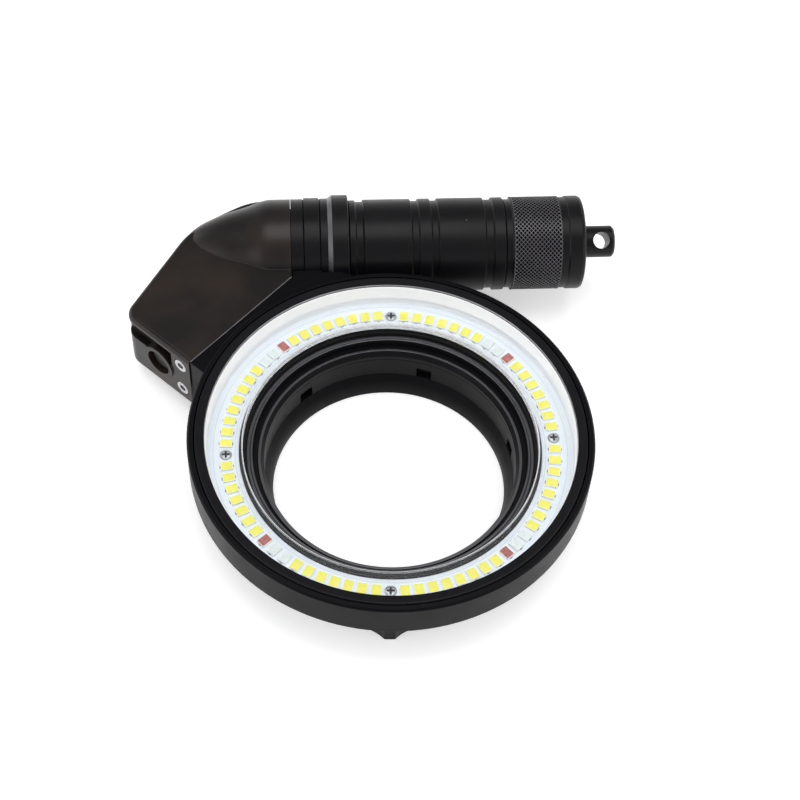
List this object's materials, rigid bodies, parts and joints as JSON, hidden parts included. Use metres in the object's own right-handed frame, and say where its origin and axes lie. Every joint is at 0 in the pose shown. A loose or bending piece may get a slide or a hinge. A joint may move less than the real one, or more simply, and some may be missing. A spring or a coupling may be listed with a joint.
{
  "type": "underwater ring light",
  "caption": "Underwater ring light: lamp ring round a lens port, with a smoked switch housing and a screw-capped battery tube at its side.",
  "frame": {"origin": "on the ring axis, at the rear face of the lock ring, where the light rests", "axes": "+Z along the ring axis towards the lamps, +X along the battery tube towards its tail cap, +Y from the ring towards the tube"},
  "size_m": [0.1485, 0.1479, 0.0373],
  "materials": {
    "anodised_black": "satin black anodised",
    "anodised_satin": "matt black anodised",
    "knurled_black": "black anodised, knurled grip",
    "smoked_plastic": "smoked polycarbonate",
    "black_nylon": "moulded",
    "dark_lining": "matt black",
    "window_glass": "clear",
    "white_silicone": "white silicone",
    "black_rubber": "matt",
    "orange_rubber": "orange silicone",
    "board_white": "white solder mask",
    "board_green": "green solder mask",
    "lamp_white": "white moulded package",
    "lamp_phosphor": "yellow phosphor gel",
    "lamp_red": "red chip under clear gel",
    "lamp_clear": "clear gel",
    "steel": "stainless",
    "spring_steel": "plain",
    "brass": "turned",
    "black_component": "moulded",
    "cell_wrap": "shrink wrap",
    "wire": "silicone insulation"
  },
  "bodies": {
    "light": {"ring_housing": "anodised_black", "bezel_ring": "anodised_black", "cover_window": "window_glass", "outer_window_seal": "white_silicone", "inner_window_seal": "black_rubber", "lamp_board": "board_white", "white_lamp_bodies": "lamp_white", "white_lamp_phosphors": "lamp_phosphor", "red_lamps": "lamp_red", "clear_lamps": "lamp_clear", "board_screws": "steel", "inner_sleeve": "anodised_satin", "journal_sleeve": "anodised_satin", "retaining_ring": "spring_steel", "lock_washer": "black_nylon", "switch_housing": "smoked_plastic", "flat_gasket": "black_rubber", "flat_screws": "steel", "side_screws": "steel", "housing_plug": "smoked_plastic", "button_seal": "black_rubber", "button_spring": "spring_steel", "touch_switch": "black_component", "switch_carrier": "black_nylon", "driver_board": "board_green", "driver_components": "black_component", "lamp_wires": "wire", "battery_wire": "wire", "tube_neck": "anodised_black", "neck_seals": "orange_rubber", "union_nut": "anodised_black", "battery_tube": "anodised_black", "tail_seals": "black_rubber", "cell_body": "cell_wrap", "cell_nub": "steel", "front_contact": "brass", "contact_insulator": "black_nylon"},
    "lock_ring_body": {"lock_ring": "anodised_satin"},
    "button": {"push_button": "black_nylon", "button_clip": "spring_steel"},
    "plunger": {"switch_plunger": "black_component"},
    "tail_carrier": {"tail_contact": "brass", "tail_spring": "spring_steel"},
    "tail": {"tail_cap": "knurled_black", "lanyard_post": "anodised_black"}
  },
  "joints": [
    {"name": "lock_ring_turn", "type": "hinge", "parent": "light", "child": "lock_ring_body", "pos_m": [0, 0, 0], "axis": [0, 0, 1], "continuous": true},
    {"name": "button_press", "type": "slide", "parent": "light", "child": "button", "axis": [0.6947, 0.7193, 0], "range_m": [0, 0.0009], "stiffness_N_per_m": 1500, "springref_m": -0.0006, "deforming": ["button_spring"]},
    {"name": "plunger_press", "type": "slide", "parent": "light", "child": "plunger", "axis": [0.6947, 0.7193, 0], "range_m": [0, 0.0003]},
    {"name": "tail_slide", "type": "slide", "parent": "light", "child": "tail_carrier", "axis": [1, 0, 0], "range_m": [0, 0.005]},
    {"name": "tail_turn", "type": "hinge", "parent": "tail_carrier", "child": "tail", "pos_m": [0.05, 0.0745, 0.0215], "axis": [1, 0, 0], "range_deg": [0, 1440]}
  ],
  "couplings": [
    {"joint": "plunger_press", "follows": "button_press", "ratio": 0.3333},
    {"joint": "tail_turn", "follows": "tail_slide", "rad_per_m": 5026.4}
  ]
}
